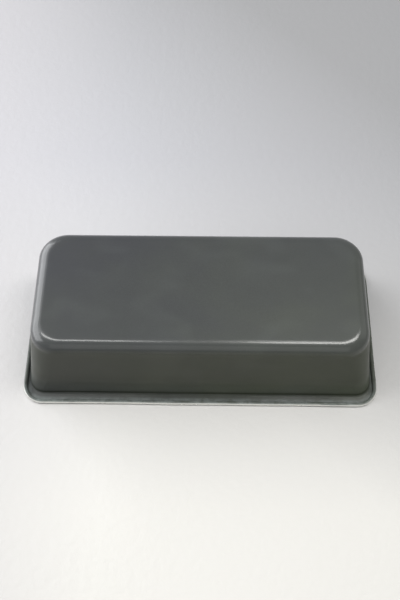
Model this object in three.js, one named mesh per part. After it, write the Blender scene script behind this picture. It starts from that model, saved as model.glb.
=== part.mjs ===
import * as THREE from 'three';

// Loaf pan, deep drawn from one steel sheet, with a rim rolled over a steel wire.
// Millimetres, +Z up. The pan lies turned over, as it drains or is stored: the
// rim rests on z = 0 with the mouth facing down, and the flat base is on top.
// X runs along the pan, Y across it; the origin is the centre of the mouth plane.

const { degToRad: rad, lerp } = THREE.MathUtils;

// ---- driving dimensions ------------------------------------------------
const RIM_LENGTH = 265;        // over the rolled edge, along X
const RIM_WIDTH = 124;         // over the rolled edge, along Y
const HEIGHT = 66.6;           // rim plane to base
const SHEET = 0.5;             // steel sheet thickness
const RIM_CORNER = 15.2;       // plan radius of the rolled edge, outside

const BEAD_R = 1.5;            // outside radius of the rolled edge
const BEAD_END = 186;          // where the raw edge of the roll stops, degrees
const WIRE_R = 0.7;            // wire inside the roll
const WIRE_SPLIT = 0.6;        // gap between the two butted ends of the wire

// Rim edge to the wall's outer face at WALL_Z, and the wall's lean: [ends, sides]
const WALL_INSET = [5.4, 8.7];
const TAPER = [rad(8.1), rad(4.6)];
const WALL_Z = 3;
const FLANGE_TILT = rad(9);    // the flange falls outwards to the roll it stands on

const FOOT_R = 1.5;            // fillet between flange and wall, outer face
const BASE_R = 9.0;            // fillet between wall and base, outer face
const FOOT_CORNER = 11.5;      // plan corner radius at the foot of the wall
const SHOULDER_CORNER = 20.0;  // plan corner radius where the base fillet starts
const FLAT_CORNER = 15.0;      // plan corner radius of the flat base

const CORNER_STEPS = 10;       // facets in each plan corner
const BASE_STEPS = 7;          // facets across the base fillet
const WALL_STEPS = 3;          // rows on the straight wall
const FOOT_STEPS = 3;          // facets across the flange fillet
const WIRE_SIDES = 8;

// ---- plan outline ------------------------------------------------------
// A rounded rectangle, anticlockwise from above. A row gives inset and height at
// the ends and at the sides, [[inset, z], [inset, z], corner radius]; the height
// passes smoothly from one to the other round each corner.
function outline([[endInset, endZ], [sideInset, sideZ], radius]) {
  const a = RIM_LENGTH / 2 - endInset;
  const b = RIM_WIDTH / 2 - sideInset;
  const points = [];
  for (const [sx, sy, start] of [[1, 1, 0], [-1, 1, 90], [-1, -1, 180], [1, -1, 270]]) {
    for (let k = 0; k <= CORNER_STEPS; k++) {
      const t = rad(start + (90 * k) / CORNER_STEPS);
      points.push(new THREE.Vector3(
        sx * (a - radius) + radius * Math.cos(t),
        sy * (b - radius) + radius * Math.sin(t),
        lerp(endZ, sideZ, Math.sin(t) ** 2)));
    }
  }
  return points;
}

// ---- section of the sheet ----------------------------------------------
const DIRECTIONS = [0, 1];     // ends, sides
const baseZ = HEIGHT - BASE_R;

const wallAt = (dir, z) => WALL_INSET[dir] + Math.tan(TAPER[dir]) * (z - WALL_Z);

function rollPoint(radius, angle) {
  return [BEAD_R - radius * Math.cos(angle), BEAD_R + radius * Math.sin(angle)];
}

// Centre of the foot fillet: FOOT_R from the wall's outer face and from the
// flange's upper face, which runs off the roll at the flange's tilt.
const footCentre = DIRECTIONS.map((dir) => {
  const [qi, qz] = rollPoint(BEAD_R - SHEET, -Math.PI / 2 - FLANGE_TILT);
  const s = Math.sin(FLANGE_TILT), c = Math.cos(FLANGE_TILT);
  const st = Math.sin(TAPER[dir]), ct = Math.cos(TAPER[dir]);
  const flange = FOOT_R - s * qi + c * qz;                    // -s i + c z = flange
  const wall = FOOT_R - ct * WALL_INSET[dir] + st * WALL_Z;   // -ct i + st z = wall
  const det = -s * st + c * ct;
  return [(flange * st - c * wall) / det, (-s * wall + ct * flange) / det];
});

// One skin of one direction, from the flat base down to the roll.
function profile(dir, depth) {
  const points = [];
  const r = BASE_R - depth;
  const taper = TAPER[dir];
  const centre = wallAt(dir, baseZ) + BASE_R / Math.cos(taper);
  for (let k = 0; k <= BASE_STEPS; k++) {
    const angle = lerp(Math.PI / 2, taper, k / BASE_STEPS);
    points.push([centre - r * Math.cos(angle), baseZ + r * Math.sin(angle)]);
  }
  const [ci, cz] = footCentre[dir];
  const rf = FOOT_R + depth;
  const shoulder = points[BASE_STEPS];
  const foot = [ci + rf * Math.cos(taper), cz - rf * Math.sin(taper)];
  for (let k = 1; k < WALL_STEPS; k++) {
    points.push([0, 1].map((i) => lerp(shoulder[i], foot[i], k / WALL_STEPS)));
  }
  for (let k = 0; k <= FOOT_STEPS; k++) {
    const angle = lerp(taper, Math.PI / 2 - FLANGE_TILT, k / FOOT_STEPS);
    points.push([ci + rf * Math.cos(angle), cz - rf * Math.sin(angle)]);
  }
  return points;
}

// Plan corner radius of each row of profile().
function corners(depth) {
  const radii = [];
  for (let k = 0; k <= BASE_STEPS; k++) {
    const angle = (Math.PI / 2) * (1 - k / BASE_STEPS);
    radii.push(lerp(FLAT_CORNER, SHOULDER_CORNER, Math.cos(angle)) - depth * Math.cos(angle));
  }
  for (let k = 1; k < WALL_STEPS; k++) {
    radii.push(lerp(SHOULDER_CORNER, FOOT_CORNER, k / WALL_STEPS) - depth);
  }
  for (let k = 0; k <= FOOT_STEPS; k++) {
    const angle = (Math.PI / 2) * (k / FOOT_STEPS);
    radii.push(lerp(FOOT_CORNER - depth, FOOT_CORNER + 0.6, 1 - Math.cos(angle)));
  }
  return radii;
}

function skin(depth) {
  const [ends, sides] = DIRECTIONS.map((dir) => profile(dir, depth));
  return corners(depth).map((radius, i) => [ends[i], sides[i], radius]);
}

// Angles of the roll, with the lowest and the outermost line of the rim among them.
const rollAngles = [-Math.PI / 2 - FLANGE_TILT];
for (let k = 0; k < 4; k++) rollAngles.push(rad(-90 + 22.5 * k));
for (let k = 0; k <= 8; k++) rollAngles.push(rad((BEAD_END * k) / 8));

const rollRow = (radius, angle) => {
  const point = rollPoint(radius, angle);
  return [point, point, RIM_CORNER - point[0]];
};

const section = [
  ...skin(0),
  ...rollAngles.map((angle) => rollRow(BEAD_R - SHEET, angle)),
  ...rollAngles.map((angle) => rollRow(BEAD_R, angle)).reverse(),
  ...skin(SHEET).reverse(),
];

// ---- solids ------------------------------------------------------------
function geometry(points, triangles) {
  const g = new THREE.BufferGeometry();
  g.setAttribute('position', new THREE.Float32BufferAttribute(points.flatMap((p) => [p.x, p.y, p.z]), 3));
  g.setIndex(triangles);
  g.computeVertexNormals();
  return g;
}

// Joins a row of outlines, each with the same number of points, and closes both
// ends with a fan round a hub a little off centre.
function loft(rows) {
  const n = rows[0].length;
  const points = rows.flat();
  const triangles = [];
  for (let i = 0; i + 1 < rows.length; i++) {
    for (let j = 0; j < n; j++) {
      const k = (j + 1) % n;
      const a = i * n + j, b = (i + 1) * n + j, c = (i + 1) * n + k, d = i * n + k;
      triangles.push(a, b, c, a, c, d);
    }
  }
  const last = (rows.length - 1) * n;
  const hub = (row) => points.push(new THREE.Vector3(row[0].x * 0.11, row[0].y * 0.17, row[0].z)) - 1;
  const top = hub(rows[0]);
  const end = hub(rows[rows.length - 1]);
  for (let j = 0; j < n; j++) {
    const k = (j + 1) % n;
    triangles.push(top, j, k, end, last + k, last + j);
  }
  return geometry(points, triangles);
}

function shellGeometry() {
  return loft(section.map(outline));
}

// The wire follows the roll all the way round; its ends butt in the middle of
// one long side, inside the roll.
function wireGeometry() {
  const perCorner = CORNER_STEPS + 1;
  const path = outline([[BEAD_R, BEAD_R], [BEAD_R, BEAD_R], RIM_CORNER - BEAD_R]);
  const side = -(RIM_WIDTH / 2 - BEAD_R);
  const start = new THREE.Vector3(WIRE_SPLIT / 2, side, BEAD_R);
  const stop = new THREE.Vector3(-WIRE_SPLIT / 2, side, BEAD_R);
  // anticlockwise from the middle of the -Y side, whose next corner is +X -Y
  const route = [start, ...path.slice(3 * perCorner), ...path.slice(0, 3 * perCorner), stop];
  const rows = route.map((p, i) => {
    const next = route[Math.min(i + 1, route.length - 1)];
    const before = route[Math.max(i - 1, 0)];
    const incoming = i > 0 ? p.clone().sub(before).normalize() : next.clone().sub(p).normalize();
    const outgoing = i < route.length - 1 ? next.clone().sub(p).normalize() : incoming.clone();
    const along = incoming.clone().add(outgoing).normalize();
    const out = new THREE.Vector3(along.y, -along.x, 0);
    const stretch = 1 / incoming.dot(along);
    const row = [];
    for (let k = 0; k < WIRE_SIDES; k++) {
      const t = (2 * Math.PI * k) / WIRE_SIDES;
      row.push(p.clone()
        .addScaledVector(out, WIRE_R * Math.cos(t) * stretch)
        .add(new THREE.Vector3(0, 0, WIRE_R * Math.sin(t))));
    }
    return row;
  });
  const n = WIRE_SIDES;
  const triangles = [];
  for (let i = 0; i + 1 < rows.length; i++) {
    for (let j = 0; j < n; j++) {
      const k = (j + 1) % n;
      const a = i * n + j, b = i * n + k, c = (i + 1) * n + k, d = (i + 1) * n + j;
      triangles.push(a, d, c, a, c, b);
    }
  }
  const end = (rows.length - 1) * n;
  for (let j = 1; j + 1 < n; j++) {
    triangles.push(0, j, j + 1, end, end + j + 1, end + j);
  }
  return geometry(rows.flat(), triangles);
}

// ---- assembly ----------------------------------------------------------
const coatedSteel = new THREE.MeshStandardMaterial({ name: 'coated_steel', color: 0x54575a, roughness: 0.42, metalness: 0.35 });
const wireSteel = new THREE.MeshStandardMaterial({ name: 'wire_steel', color: 0x9a9c9e, roughness: 0.4, metalness: 0.9 });

const loafPan = new THREE.Group();
loafPan.name = 'loaf_pan';

const shell = new THREE.Mesh(shellGeometry(), coatedSteel);
shell.name = 'pan_shell';
loafPan.add(shell);

const wire = new THREE.Mesh(wireGeometry(), wireSteel);
wire.name = 'rim_wire';
loafPan.add(wire);

export default loafPan;
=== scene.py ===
import math
import bpy
from mathutils import Matrix, Vector, noise


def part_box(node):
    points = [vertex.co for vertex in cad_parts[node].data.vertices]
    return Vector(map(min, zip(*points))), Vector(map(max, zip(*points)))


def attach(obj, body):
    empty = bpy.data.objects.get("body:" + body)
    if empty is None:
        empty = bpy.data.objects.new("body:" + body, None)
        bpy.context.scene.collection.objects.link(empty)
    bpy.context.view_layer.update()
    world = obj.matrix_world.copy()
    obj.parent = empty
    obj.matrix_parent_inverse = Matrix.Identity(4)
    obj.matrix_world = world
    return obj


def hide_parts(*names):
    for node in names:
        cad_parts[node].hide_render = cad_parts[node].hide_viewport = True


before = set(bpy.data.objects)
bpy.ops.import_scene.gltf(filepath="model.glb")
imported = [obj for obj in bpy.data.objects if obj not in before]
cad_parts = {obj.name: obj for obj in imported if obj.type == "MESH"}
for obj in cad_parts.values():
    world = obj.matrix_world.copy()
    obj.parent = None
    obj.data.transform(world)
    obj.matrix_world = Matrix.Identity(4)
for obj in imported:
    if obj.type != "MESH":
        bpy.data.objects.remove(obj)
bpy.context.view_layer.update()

# ---------------------------------------------------------------------------
# Loaf pan, lying turned over on its rim. Metres, +Z up, mouth plane on z = 0.
# The height comes from the CAD box; the rim's length and width are given here.
# ---------------------------------------------------------------------------
MM = 0.001
lo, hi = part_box("pan_shell")
RIM_LENGTH = 265.0 * MM
RIM_WIDTH = 124.0 * MM
HEIGHT = hi.z
SHEET = 0.5 * MM
RIM_CORNER = 15.2 * MM
BEAD_R = 1.5 * MM
BEAD_END = math.radians(186.0)
WIRE_R = 0.7 * MM
ENDS, SIDES = 0, 1
WALL_INSET = (5.4 * MM, 8.7 * MM)
TAPER = (math.radians(8.1), math.radians(4.6))
WALL_Z = 3.0 * MM
FLANGE_TILT = math.radians(9.0)
FOOT_R = 1.5 * MM
BASE_R = 9.0 * MM
FOOT_CORNER = 11.5 * MM
SHOULDER_CORNER = 20.0 * MM
FLAT_CORNER = 15.0 * MM
BASE_Z = HEIGHT - BASE_R


def lerp(a, b, t):
    return a + (b - a) * t


def smooth(t):
    t = max(0.0, min(1.0, t))
    return t * t * (3 - 2 * t)


def wall_at(d, z):
    return WALL_INSET[d] + math.tan(TAPER[d]) * (z - WALL_Z)


def roll_point(radius, angle):
    return (BEAD_R - radius * math.cos(angle), BEAD_R + radius * math.sin(angle))


def foot_centre(d):
    """Centre of the fillet between the wall and the tilted flange."""
    qi, qz = roll_point(BEAD_R - SHEET, -math.pi / 2 - FLANGE_TILT)
    s, c = math.sin(FLANGE_TILT), math.cos(FLANGE_TILT)
    st, ct = math.sin(TAPER[d]), math.cos(TAPER[d])
    flange = FOOT_R - s * qi + c * qz
    wall = FOOT_R - ct * WALL_INSET[d] + st * WALL_Z
    det = -s * st + c * ct
    return ((flange * st - c * wall) / det, (-s * wall + ct * flange) / det)


# ---- plan outline: the same points on every ring ----------------------------
CORNER_STEPS = 28
LONG_STEPS = 80
SHORT_STEPS = 32


def outline_keys():
    """What each point of a ring is: a step round a corner, or along a straight run."""
    keys = []
    for sx, sy, start in ((1, 1, 0), (-1, 1, 90), (-1, -1, 180), (1, -1, 270)):
        for k in range(CORNER_STEPS + 1):
            keys.append(("arc", sx, sy, math.radians(start + 90.0 * k / CORNER_STEPS)))
        n = LONG_STEPS if start in (0, 180) else SHORT_STEPS
        for k in range(1, n):
            keys.append(("run", start, k / n))
    return keys


KEYS = outline_keys()


def ring(end, side, radius):
    """A rounded rectangle; end and side are (inset, z), and z changes round each corner."""
    a = RIM_LENGTH / 2 - end[0]
    b = RIM_WIDTH / 2 - side[0]
    ca, cb = a - radius, b - radius
    pts = []
    for key in KEYS:
        if key[0] == "arc":
            _, sx, sy, t = key
            z = lerp(end[1], side[1], math.sin(t) ** 2)
            pts.append(Vector((sx * ca + radius * math.cos(t), sy * cb + radius * math.sin(t), z)))
        else:
            _, start, f = key
            if start == 0:
                pts.append(Vector((lerp(ca, -ca, f), b, side[1])))
            elif start == 90:
                pts.append(Vector((-a, lerp(cb, -cb, f), end[1])))
            elif start == 180:
                pts.append(Vector((lerp(-ca, ca, f), -b, side[1])))
            else:
                pts.append(Vector((a, lerp(-cb, cb, f), end[1])))
    return pts


BASE_STEPS, WALL_STEPS, FOOT_STEPS, FLANGE_STEPS = 26, 32, 12, 7


def profile(d, depth):
    """One skin of one direction, from the flat base down to the start of the roll."""
    pts = []
    r = BASE_R - depth
    lean = TAPER[d]
    centre = wall_at(d, BASE_Z) + BASE_R / math.cos(lean)
    for k in range(BASE_STEPS + 1):
        angle = lerp(math.pi / 2, lean, k / BASE_STEPS)
        pts.append((centre - r * math.cos(angle), BASE_Z + r * math.sin(angle)))
    ci, cz = foot_centre(d)
    rf = FOOT_R + depth
    shoulder = pts[-1]
    foot = (ci + rf * math.cos(lean), cz - rf * math.sin(lean))
    for k in range(1, WALL_STEPS):
        pts.append(tuple(lerp(shoulder[i], foot[i], k / WALL_STEPS) for i in (0, 1)))
    for k in range(FOOT_STEPS + 1):
        angle = lerp(lean, math.pi / 2 - FLANGE_TILT, k / FOOT_STEPS)
        pts.append((ci + rf * math.cos(angle), cz - rf * math.sin(angle)))
    start = roll_point(BEAD_R - SHEET + depth, -math.pi / 2 - FLANGE_TILT)
    last = pts[-1]
    for k in range(1, FLANGE_STEPS):
        pts.append(tuple(lerp(last[i], start[i], k / FLANGE_STEPS) for i in (0, 1)))
    return pts


def corners(depth):
    """Plan corner radius of each row of profile()."""
    radii = []
    for k in range(BASE_STEPS + 1):
        angle = (math.pi / 2) * (1 - k / BASE_STEPS)
        radii.append(lerp(FLAT_CORNER, SHOULDER_CORNER, math.cos(angle)) - depth * math.cos(angle))
    for k in range(1, WALL_STEPS):
        radii.append(lerp(SHOULDER_CORNER, FOOT_CORNER, k / WALL_STEPS) - depth)
    for k in range(FOOT_STEPS + 1):
        angle = (math.pi / 2) * (k / FOOT_STEPS)
        radii.append(lerp(FOOT_CORNER - depth, FOOT_CORNER + 0.6 * MM, 1 - math.cos(angle)))
    start = roll_point(BEAD_R - SHEET + depth, -math.pi / 2 - FLANGE_TILT)[0]
    for k in range(1, FLANGE_STEPS):
        radii.append(lerp(FOOT_CORNER + 0.6 * MM, RIM_CORNER - start, k / FLANGE_STEPS))
    return radii


def skin(depth):
    return list(zip(profile(ENDS, depth), profile(SIDES, depth), corners(depth)))


def roll_row(radius, angle):
    p = roll_point(radius, angle)
    return (p, p, RIM_CORNER - p[0])


BEAD_STEPS = 36


def section():
    rows = skin(0.0)
    first = -math.pi / 2 - FLANGE_TILT
    mid = BEAD_R - SHEET / 2
    for k in range(BEAD_STEPS + 1):
        rows.append(roll_row(BEAD_R - SHEET, lerp(first, BEAD_END, k / BEAD_STEPS)))
    # the sheared edge, slightly rounded
    for k in range(1, 8):
        a = math.pi * k / 8
        over = SHEET / 2 * math.sin(a) * 0.7 / mid
        rows.append(roll_row(mid - SHEET / 2 * math.cos(a), BEAD_END + over))
    for k in range(BEAD_STEPS, -1, -1):
        rows.append(roll_row(BEAD_R, lerp(first, BEAD_END, k / BEAD_STEPS)))
    rows += list(reversed(skin(SHEET)))
    return rows


# ---- small departures of pressed sheet from its nominal shape ---------------
def n1(x, y, z, seed):
    return noise.noise(Vector((x + seed * 17.13, y - seed * 9.71, z + seed * 3.37)))


def bend(p):
    """How far the sheet stands off its nominal place, for both skins alike."""
    x, y, z = p
    out = Vector((0.0, 0.0, 0.0))
    up = smooth(z / (HEIGHT * 0.9))
    # base: a shallow crown with slow unevenness
    fx, fy = x / 0.115, y / 0.045
    flat = max(0.0, 1 - fx * fx) * max(0.0, 1 - fy * fy)
    top = smooth((z - (HEIGHT - 2.2 * MM)) / (1.2 * MM))
    out.z -= top * (0.22 * MM * flat + 0.05 * MM * n1(x * 22, y * 22, 0, 1) * flat)
    # walls: the long ones spring inwards a little at mid height
    wall = smooth(z / (12 * MM)) * (1 - smooth((z - HEIGHT + 12 * MM) / (10 * MM)))
    side = 1 - smooth((abs(x) - 0.088) / 0.03)
    out.y -= math.copysign(1, y) * wall * side * smooth((abs(y) - 0.03) / 0.012) * (
        0.30 * MM + 0.10 * MM * n1(x * 16, 3.0, z * 18, 2 if y > 0 else 3))
    end = 1 - smooth((abs(y) - 0.028) / 0.02)
    out.x -= math.copysign(1, x) * wall * end * smooth((abs(x) - 0.085) / 0.02) * (
        0.12 * MM + 0.08 * MM * n1(2.0, y * 20, z * 20, 4 if x > 0 else 5))
    # flange: puckers left by drawing, strongest next to the corners
    rim = (1 - smooth((z - 1.5 * MM) / (6.0 * MM)))
    near = math.exp(-((abs(x) - 0.098) / 0.022) ** 2)
    pucker = 0.10 + 0.32 * near
    w = n1(x * 95, y * 95, 0, 6) * 0.7 + n1(x * 220, y * 220, 0, 7) * 0.3
    out.z += rim * pucker * MM * max(0.0, 0.35 + w)
    edge = n1(x * 30, y * 30, 1.0, 8)
    out += Vector((math.copysign(1, x) * smooth((abs(x) - 0.118) / 0.01), math.copysign(1, y) * smooth((abs(y) - 0.048) / 0.008), 0)) * rim * edge * 0.25 * MM
    return out


def mesh_object(name, verts, faces, collection=None):
    me = bpy.data.meshes.new(name)
    me.from_pydata([tuple(v) for v in verts], [], faces)
    me.validate()
    me.update()
    me.shade_smooth()
    ob = bpy.data.objects.new(name, me)
    bpy.context.scene.collection.objects.link(ob)
    return ob


def build_shell():
    rows = section()
    rings = [ring(*row) for row in rows]
    # both caps run in to a spine along the middle of the base
    steps = (0.04, 0.09, 0.15, 0.22, 0.31, 0.42, 0.55, 0.70, 0.86)

    def cap(r0):
        reach = max(p.x for p in r0) - max(p.y for p in r0)
        caps = []
        for s in steps:
            caps.append([p.lerp(Vector((max(-reach, min(reach, p.x)), 0.0, p.z)), s) for p in r0])
        spine = [Vector((max(-reach, min(reach, p.x)), 0.0, p.z)) for p in r0]
        return caps, spine

    top_caps, top_spine = cap(rings[0])
    end_caps, end_spine = cap(rings[-1])
    rows_all = [top_spine] + list(reversed(top_caps)) + rings + end_caps + [end_spine]
    n = len(KEYS)
    verts = [v for r in rows_all for v in r]
    faces = []
    for i in range(len(rows_all) - 1):
        for j in range(n):
            k = (j + 1) % n
            faces.append((i * n + j, (i + 1) * n + j, (i + 1) * n + k, i * n + k))
    verts = [v + bend(v) for v in verts]
    ob = mesh_object("pan_shell_fine", verts, faces)
    import bmesh
    bm = bmesh.new()
    bm.from_mesh(ob.data)
    bmesh.ops.remove_doubles(bm, verts=bm.verts, dist=1e-7)
    bmesh.ops.dissolve_degenerate(bm, dist=1e-8, edges=bm.edges)
    bmesh.ops.recalc_face_normals(bm, faces=bm.faces)
    bm.to_mesh(ob.data)
    bm.free()
    ob.data.shade_smooth()
    return ob


def build_wire():
    """The wire in the roll: drawn wire, butted in the middle of the front side."""
    path = ring((BEAD_R, BEAD_R), (BEAD_R, BEAD_R), RIM_CORNER - BEAD_R)
    sides = 18
    # start at the middle of the -Y side
    mid = min(range(len(path)), key=lambda i: (path[i].y > 0, abs(path[i].x)))
    path = path[mid:] + path[:mid] + [path[mid]]
    path[0] = path[0] + Vector((0.3 * MM, 0, 0))
    path[-1] = path[-1] - Vector((0.3 * MM, 0, 0))
    rows = []
    for i, p in enumerate(path):
        a = path[max(i - 1, 0)]
        b = path[min(i + 1, len(path) - 1)]
        along = (b - a).normalized()
        out = Vector((along.y, -along.x, 0))
        rows.append([p + out * (WIRE_R * math.cos(2 * math.pi * k / sides)) +
                     Vector((0, 0, WIRE_R * math.sin(2 * math.pi * k / sides))) for k in range(sides)])
    # chamfered ends
    first = [lerp(rows[0][k], path[0], 0.25) - Vector((0.12 * MM, 0, 0)) for k in range(sides)]
    final = [lerp(rows[-1][k], path[-1], 0.25) + Vector((0.12 * MM, 0, 0)) for k in range(sides)]
    rows = [first] + rows + [final]
    verts = [v + bend(v) * 0.5 for r in rows for v in r]
    faces = []
    for i in range(len(rows) - 1):
        for j in range(sides):
            k = (j + 1) % sides
            faces.append((i * sides + j, (i + 1) * sides + j, (i + 1) * sides + k, i * sides + k))
    faces.append(tuple(range(sides)))
    faces.append(tuple(reversed(range((len(rows) - 1) * sides, len(rows) * sides))))
    ob = mesh_object("rim_wire_fine", verts, faces)
    import bmesh
    bm = bmesh.new()
    bm.from_mesh(ob.data)
    bmesh.ops.recalc_face_normals(bm, faces=bm.faces)
    bm.to_mesh(ob.data)
    bm.free()
    ob.data.shade_smooth()
    return ob


# ---------------------------------------------------------------------------
# Materials
# ---------------------------------------------------------------------------
def new_material(name):
    m = bpy.data.materials.new(name)
    m.use_nodes = True
    nt = m.node_tree
    nt.nodes.clear()
    out = nt.nodes.new("ShaderNodeOutputMaterial")
    b = nt.nodes.new("ShaderNodeBsdfPrincipled")
    nt.links.new(b.outputs["BSDF"], out.inputs["Surface"])
    return m, nt, b


def add(nt, kind, **inputs):
    node = nt.nodes.new(kind)
    for key, value in inputs.items():
        if key.startswith("_"):
            setattr(node, key[1:], value)
        else:
            node.inputs[key.replace("__", " ")].default_value = value
    return node


def link(nt, a, b):
    nt.links.new(a, b)


def math_node(nt, op, a=None, b=None, c=None, clamp=False):
    node = nt.nodes.new("ShaderNodeMath")
    node.operation = op
    node.use_clamp = clamp
    for i, v in enumerate((a, b, c)):
        if v is None:
            continue
        if isinstance(v, (int, float)):
            node.inputs[i].default_value = v
        else:
            nt.links.new(v, node.inputs[i])
    return node.outputs[0]


def ramp(nt, fac, stops, mode="EASE"):
    node = nt.nodes.new("ShaderNodeValToRGB")
    node.color_ramp.interpolation = mode
    el = node.color_ramp.elements
    while len(el) > 1:
        el.remove(el[-1])
    el[0].position, el[0].color = stops[0][0], stops[0][1]
    for pos, col in stops[1:]:
        e = el.new(pos)
        e.color = col
    nt.links.new(fac, node.inputs["Fac"])
    return node


def mix(nt, fac, a, b, blend="MIX"):
    node = nt.nodes.new("ShaderNodeMix")
    node.data_type = "RGBA"
    node.blend_type = blend
    if isinstance(fac, (int, float)):
        node.inputs[0].default_value = fac
    else:
        nt.links.new(fac, node.inputs[0])
    for i, v in ((6, a), (7, b)):
        if isinstance(v, tuple):
            node.inputs[i].default_value = v
        else:
            nt.links.new(v, node.inputs[i])
    return node.outputs[2]


def tex_noise(nt, coord, scale, detail=3.0, rough=0.5, distortion=0.0):
    node = add(nt, "ShaderNodeTexNoise", Scale=scale, Detail=detail, Roughness=rough, Distortion=distortion)
    nt.links.new(coord, node.inputs["Vector"])
    return node.outputs["Fac"]


def grey(v):
    return (v, v, v, 1.0)


def coating_material():
    """Dark grey non-stick coating on pressed steel: satin, a fine orange peel,
    patches of slightly different tone, rubbed bright on the lip of the rim."""
    m, nt, b = new_material("nonstick_coating")
    geo = nt.nodes.new("ShaderNodeNewGeometry")
    tc = nt.nodes.new("ShaderNodeTexCoord")
    P = tc.outputs["Object"]
    sep = nt.nodes.new("ShaderNodeSeparateXYZ")
    link(nt, P, sep.inputs[0])
    X, Y, Z = sep.outputs

    # slow clouds of tone, then a finer mottling and the flakes of the coating
    cloud = tex_noise(nt, P, 14.0, 3.0, 0.55, 0.4)
    mottle = tex_noise(nt, P, 95.0, 4.0, 0.6)
    flake = tex_noise(nt, P, 1500.0, 2.0, 0.6)
    base = ramp(nt, cloud, [(0.26, (0.0350, 0.0368, 0.0380, 1)), (0.74, (0.0388, 0.0416, 0.0384, 1))]).outputs[0]
    # painted light: the colour is bluer and darker towards the left-hand back and greener and paler towards the
    # right-hand front, standing in for the light falling from each side
    painted_light_tint = math_node(nt, "MULTIPLY_ADD", math_node(nt, "SUBTRACT", X, Y), 4.0, 0.5, True)
    base = mix(nt, 1.0, base, ramp(nt, painted_light_tint, [(0.0, (0.87, 0.87, 0.94, 1)), (1.0, (1.08, 1.12, 1.0, 1))], "LINEAR").outputs[0], "MULTIPLY")
    base = mix(nt, 0.35, base, ramp(nt, mottle, [(0.15, grey(0.44)), (0.85, grey(0.56))], "LINEAR").outputs[0], "OVERLAY")
    base = mix(nt, 0.30, base, ramp(nt, flake, [(0.3, grey(0.36)), (0.7, grey(0.64))]).outputs[0], "OVERLAY")

    # rubbed blotches, broad and faint: a little paler and glossier
    smear_map = add(nt, "ShaderNodeMapping")
    smear_map.inputs["Rotation"].default_value = (0.0, 0.0, math.radians(24))
    smear_map.inputs["Scale"].default_value = (1.0, 1.8, 1.0)
    link(nt, P, smear_map.inputs["Vector"])
    smear = tex_noise(nt, smear_map.outputs[0], 26.0, 1.5, 0.45, 0.3)
    smear_mask = ramp(nt, smear, [(0.46, grey(0.0)), (0.72, grey(1.0))]).outputs[0]
    smear_f = math_node(nt, "MULTIPLY", smear_mask, 0.07)
    base = mix(nt, smear_f, base, (0.12, 0.13, 0.125, 1))

    # painted shade: the walls (the mask called drawn) are darkened and tinted olive, standing in for the shade and
    # warm bounced light on them (the darkening starts lower on the ends than on the long sides)
    at_end = ramp(nt, math_node(nt, "DIVIDE", math_node(nt, "ABSOLUTE", X), RIM_LENGTH / 2), [(0.74, grey(0.0)), (0.86, grey(1.0))]).outputs[0]
    drawn = ramp(nt, math_node(nt, "MULTIPLY_ADD", at_end, 0.04, math_node(nt, "DIVIDE", Z, HEIGHT)),
                 [(0.872, grey(1.0)), (0.965, grey(0.0))]).outputs[0]
    drawn = math_node(nt, "MULTIPLY", drawn, math_node(nt, "MULTIPLY", Z, 260.0, None, True))
    base = mix(nt, drawn, base, mix(nt, 1.0, base, (0.81, 0.85, 0.60, 1), "MULTIPLY"))
    # painted light: the lower walls are made paler and bluer towards the foot, lifting the shade that falls there
    foot = ramp(nt, math_node(nt, "DIVIDE", Z, 0.026), [(0.125, grey(0.0)), (0.19, grey(1.0)), (0.98, grey(0.0))]).outputs[0]
    base = mix(nt, math_node(nt, "MULTIPLY", foot, 0.9), base, mix(nt, 1.0, base, (2.45, 2.35, 3.0, 1), "MULTIPLY"))

    # the lip: the outer, lower part of the roll is rubbed down towards bare steel
    low = ramp(nt, math_node(nt, "DIVIDE", Z, 0.0032), [(0.70, grey(1.0)), (0.95, grey(0.0))]).outputs[0]
    # signed distance to the rounded outline of the rim, measured inwards
    core = RIM_CORNER
    qx = math_node(nt, "MAXIMUM", math_node(nt, "SUBTRACT", math_node(nt, "ABSOLUTE", X), RIM_LENGTH / 2 - core), 0.0)
    qy = math_node(nt, "MAXIMUM", math_node(nt, "SUBTRACT", math_node(nt, "ABSOLUTE", Y), RIM_WIDTH / 2 - core), 0.0)
    dist = math_node(nt, "SQRT", math_node(nt, "ADD", math_node(nt, "MULTIPLY", qx, qx), math_node(nt, "MULTIPLY", qy, qy)))
    depth = math_node(nt, "SUBTRACT", core, dist)
    outer = math_node(nt, "MULTIPLY_ADD", depth, -1400.0, 2.1, True)
    lip = math_node(nt, "MULTIPLY", low, outer)
    lip_noise = math_node(nt, "MULTIPLY_ADD", tex_noise(nt, P, 60.0, 4.0, 0.6), 0.7, 0.62)
    lip = math_node(nt, "MULTIPLY", lip, lip_noise, None, True)
    # it is rubbed along the long sides and the corners, and dark along the ends
    long_side = ramp(nt, math_node(nt, "DIVIDE", math_node(nt, "ABSOLUTE", Y), RIM_WIDTH / 2), [(0.66, grey(0.06)), (0.90, grey(1.0))]).outputs[0]
    lip = math_node(nt, "MULTIPLY", lip, long_side)
    worn = lip
    # painted light: the flange is made paler and bluer in patches, standing in for the light it catches from above;
    # kept darker along the ends
    on_flange = math_node(nt, "MULTIPLY", math_node(nt, "LESS_THAN", depth, 0.0082),
                          ramp(nt, math_node(nt, "DIVIDE", Z, 0.0046), [(0.55, grey(1.0)), (0.90, grey(0.0))]).outputs[0])
    patch = ramp(nt, tex_noise(nt, P, 120.0, 4.0, 0.62, 0.6), [(0.33, grey(0.35)), (0.64, grey(1.0))]).outputs[0]
    # painted shade: the pale patches fade out next to the wall
    out_to_roll = ramp(nt, math_node(nt, "DIVIDE", depth, 0.008), [(0.34, grey(1.0)), (0.74, grey(0.06))], "LINEAR").outputs[0]
    patch = math_node(nt, "MULTIPLY", math_node(nt, "MULTIPLY", patch, out_to_roll), math_node(nt, "MULTIPLY_ADD", long_side, 0.75, 0.25))
    base = mix(nt, math_node(nt, "MULTIPLY", on_flange, patch), base, (0.140, 0.158, 0.152, 1))
    col = mix(nt, worn, base, (0.86, 0.86, 0.81, 1))
    link(nt, col, b.inputs["Base Color"])

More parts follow.
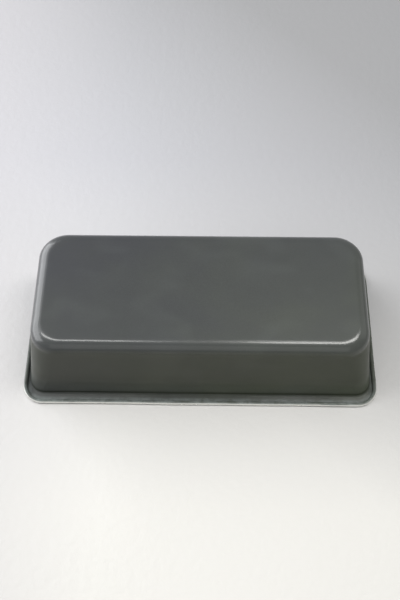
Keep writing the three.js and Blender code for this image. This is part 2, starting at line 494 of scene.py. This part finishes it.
    rough = math_node(nt, "MULTIPLY_ADD", cloud, 0.06, 0.33)
    rough = math_node(nt, "MULTIPLY_ADD", mottle, 0.05, rough)
    rough = math_node(nt, "MULTIPLY_ADD", smear_mask, -0.04, rough)
    rough = math_node(nt, "MULTIPLY_ADD", drawn, 0.08, rough)
    rough = math_node(nt, "MULTIPLY_ADD", on_flange, 0.16, rough)
    rough = math_node(nt, "MULTIPLY_ADD", worn, -0.32, rough, True)
    link(nt, rough, b.inputs["Roughness"])
    link(nt, math_node(nt, "MULTIPLY", worn, 0.9), b.inputs["Metallic"])
    b.inputs["IOR"].default_value = 1.46
    b.inputs["Specular IOR Level"].default_value = 0.19
    # the baked gloss of the coating, fullest on the base and its rounded edge
    gloss = math_node(nt, "SUBTRACT", 1.0, math_node(nt, "MAXIMUM", math_node(nt, "MULTIPLY", drawn, 0.78),
                                                     math_node(nt, "MULTIPLY", on_flange, 0.9)))
    link(nt, gloss, b.inputs["Coat Weight"])
    b.inputs["Coat Roughness"].default_value = 0.17
    b.inputs["Coat IOR"].default_value = 1.45

    # relief: orange peel and flakes
    peel = tex_noise(nt, P, 620.0, 3.0, 0.5)
    height = math_node(nt, "MULTIPLY", peel, 0.000012)
    height = math_node(nt, "MULTIPLY_ADD", flake, 0.000005, height)
    height = math_node(nt, "MULTIPLY_ADD", mottle, 0.000008, height)
    bump = add(nt, "ShaderNodeBump", Strength=1.0, Distance=1.0)
    link(nt, height, bump.inputs["Height"])
    link(nt, bump.outputs[0], b.inputs["Normal"])
    return m


def wire_material():
    """Drawn steel wire: bright, with die lines along it and a little grey scale."""
    m, nt, b = new_material("wire_steel")
    tc = nt.nodes.new("ShaderNodeTexCoord")
    P = tc.outputs["Object"]
    patch = tex_noise(nt, P, 90.0, 4.0, 0.6)
    fine = tex_noise(nt, P, 1400.0, 2.0, 0.5)
    col = ramp(nt, patch, [(0.3, (0.42, 0.42, 0.43, 1)), (0.7, (0.60, 0.60, 0.60, 1))]).outputs[0]
    link(nt, col, b.inputs["Base Color"])
    b.inputs["Metallic"].default_value = 1.0
    link(nt, math_node(nt, "MULTIPLY_ADD", patch, 0.2, 0.25), b.inputs["Roughness"])
    bump = add(nt, "ShaderNodeBump", Strength=1.0, Distance=1.0)
    link(nt, math_node(nt, "MULTIPLY", fine, 0.00001), bump.inputs["Height"])
    link(nt, bump.outputs[0], b.inputs["Normal"])
    return m


def floor_material():
    m, nt, b = new_material("pale_table")
    tc = nt.nodes.new("ShaderNodeTexCoord")
    P = tc.outputs["Object"]
    cloud = tex_noise(nt, P, 2.2, 3.0, 0.5)
    col = ramp(nt, cloud, [(0.3, (0.49, 0.48, 0.455, 1)), (0.7, (0.53, 0.52, 0.495, 1))]).outputs[0]
    sep = nt.nodes.new("ShaderNodeSeparateXYZ")
    link(nt, P, sep.inputs[0])
    # towards the back the table takes the lavender grey of the backdrop cloth, partly its own colour and partly
    # painted shade; towards the right-hand back and to the left of the pan it is darkened with painted shade,
    # standing in for how the light falls across it
    back = math_node(nt, "MULTIPLY_ADD", sep.outputs[1], 3.2, 0.45, True)
    col = mix(nt, back, col, (0.39, 0.39, 0.415, 1))
    side = math_node(nt, "MULTIPLY_ADD", math_node(nt, "ADD", sep.outputs[0], sep.outputs[1]), 2.4, 0.02, True)
    col = mix(nt, side, col, (0.25, 0.25, 0.255, 1))
    left = math_node(nt, "MULTIPLY_ADD", sep.outputs[0], -5.0, -0.35, True)
    col = mix(nt, left, col, (0.35, 0.34, 0.35, 1))
    link(nt, col, b.inputs["Base Color"])
    b.inputs["Roughness"].default_value = 0.55
    bump = add(nt, "ShaderNodeBump", Strength=0.3, Distance=0.001)
    link(nt, tex_noise(nt, P, 180.0, 3.0, 0.5), bump.inputs["Height"])
    link(nt, bump.outputs[0], b.inputs["Normal"])
    return m


# ---------------------------------------------------------------------------
# Pieces
# ---------------------------------------------------------------------------
shell = build_shell()
shell.data.materials.append(coating_material())
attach(shell, "root")
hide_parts("pan_shell")

wire = build_wire()
wire.data.materials.append(wire_material())
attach(wire, "root")
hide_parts("rim_wire")

# ---------------------------------------------------------------------------
# Stage: pale table, soft light, camera
# ---------------------------------------------------------------------------
floor_me = bpy.data.meshes.new("floor")
S = 3.0
floor_me.from_pydata([(-S, -S, -0.0002), (S, -S, -0.0002), (S, S, -0.0002), (-S, S, -0.0002)], [], [(0, 1, 2, 3)])
floor = bpy.data.objects.new("floor", floor_me)
bpy.context.scene.collection.objects.link(floor)
floor_me.materials.append(floor_material())

world = bpy.data.worlds.new("studio")
bpy.context.scene.world = world
world.use_nodes = True
wn = world.node_tree
bg = wn.nodes["Background"]
bg.inputs["Color"].default_value = (0.95, 0.97, 1.0, 1)
bg.inputs["Strength"].default_value = 0.43


def area(name, place, aim, size, power, colour=(1, 1, 1)):
    light = bpy.data.lights.new(name, "AREA")
    light.shape = "RECTANGLE"
    light.size, light.size_y = size
    light.energy = power
    light.color = colour
    ob = bpy.data.objects.new(name, light)
    bpy.context.scene.collection.objects.link(ob)
    ob.location = place
    ob.rotation_euler = (Vector(aim) - Vector(place)).to_track_quat("-Z", "Y").to_euler()
    return ob


# small bright lamps overhead, which draw the highlights on the base's edge:
# a dim long one along it and a bright one at each corner
area("lamp_line", (0.20, 0.34, 1.30), (0, 0, 0.06), (0.24, 0.16), 0.7, (1.0, 0.99, 0.96))
area("lamp_right", (0.46, 0.08, 1.30), (0, 0, 0.06), (0.34, 0.74), 10.4, (1.0, 0.99, 0.96))
area("lamp_left", (-0.49, 0.08, 1.30), (0, 0, 0.06), (0.20, 0.74), 5.6, (1.0, 1.0, 0.98))
# wide soft panels: brightest on the left and behind it, weaker on the right,
# and a large dim one in front of the pan, above the camera
area("left_panel", (-1.0, 0.33, 0.45), (0, 0, 0.05), (1.6, 0.90), 21.0, (0.97, 0.98, 1.0))
area("left_top", (-0.80, 0.42, 1.02), (0, 0, 0.05), (1.0, 0.42), 1.9, (0.97, 0.98, 1.0))
area("right_panel", (1.2, 0.3, 0.6), (0, 0, 0.03), (0.8, 0.8), 0.9, (1.0, 0.99, 0.96))
area("front_panel", (0.0, -1.35, 1.05), (0, 0, 0.05), (2.2, 1.2), 4.4, (1.0, 1.0, 0.95))

# camera: the fitted view, in the pan's own frame
F_PX, ELEV, YAW, ROLL = 830.65, math.radians(61.16), math.radians(-1.41), math.radians(-0.66)
K = 1.06
TX, TY, TZ = -0.18 * K * MM, -22.83 * K * MM, 611.59 * K * MM
cam_data = bpy.data.cameras.new("camera")
cam = bpy.data.objects.new("camera", cam_data)
bpy.context.scene.collection.objects.link(cam)
bpy.context.scene.camera = cam
cam_data.lens = F_PX * 36.0 / 600.0
cam_data.sensor_width = 36.0
cam_data.clip_start = 0.01
turn = Matrix.Rotation(-YAW, 3, "Z")
ce, se = math.cos(ELEV), math.sin(ELEV)
position = turn @ Vector((TX, -TZ * ce - TY * se, TZ * se - TY * ce))
right = Vector((1, 0, 0))
down = Vector((0, -se, -ce))
forward = Vector((0, ce, -se))
img_right = math.cos(ROLL) * right - math.sin(ROLL) * down
img_down = math.sin(ROLL) * right + math.cos(ROLL) * down
axes = Matrix((turn @ img_right, -(turn @ img_down), -(turn @ forward))).transposed()
cam.matrix_world = Matrix.Translation(position) @ axes.to_4x4()

scene = bpy.context.scene
scene.view_settings.view_transform = "Standard"
scene.view_settings.look = "None"
scene.view_settings.exposure = 0.0
